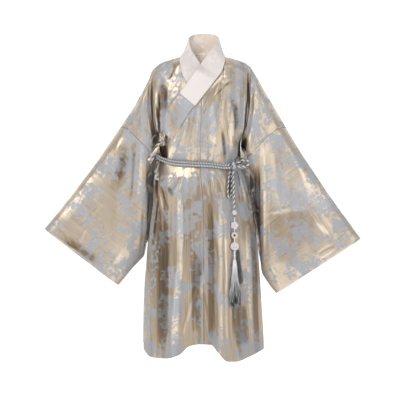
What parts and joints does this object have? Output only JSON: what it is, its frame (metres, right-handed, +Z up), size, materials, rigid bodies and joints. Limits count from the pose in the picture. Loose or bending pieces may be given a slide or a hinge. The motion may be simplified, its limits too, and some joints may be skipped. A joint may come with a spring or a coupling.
{
  "type": "worn-shape hanfu robe",
  "caption": "Long wide-sleeved robe with a crossed collar, filled out as when worn, tied at the side and belted with twisted cords that end in jade ornaments and tassels.",
  "frame": {"origin": "the middle of the shoulder line at the base of the neck, where a wearer's neck and shoulders hold the robe up", "axes": "+Z up, +X towards the wearer's left, the front faces -Y"},
  "size_m": [1.258, 0.3641, 1.2961],
  "materials": {
    "satin": "champagne satin damask with a matte blue-grey floral figure",
    "white": "matte, smooth, stiffened",
    "cord": "twisted silk cord, silver and charcoal",
    "jade": "polished pale stone",
    "tassel": "combed silk thread"
  },
  "bodies": {
    "root": {"front_left": "satin", "front_left_overlap": "satin", "front_right": "satin", "back_left": "satin", "back_right": "satin", "upper_sleeve_left": "satin", "upper_sleeve_right": "satin", "sleeve_left": "satin", "sleeve_right": "satin", "collar_white": "white", "collar_band": "satin", "belt_cord_upper": "cord", "belt_cord_lower": "cord", "belt_knot": "cord", "belt_bow": "cord", "belt_end_loop": "cord", "pendant_cord": "cord", "pendant_knot": "cord", "pendant_link_1": "cord", "pendant_link_2": "cord", "pendant_link_3": "cord", "pendant_tail": "cord", "jade_flower": "jade", "jade_ring": "jade", "jade_disc": "jade", "tassel_front": "tassel", "tassel_back": "tassel", "tie_knot": "satin", "tie_loop": "satin", "tie_end_flat": "satin", "tie_end_twisted": "satin"}
  },
  "joints": []
}
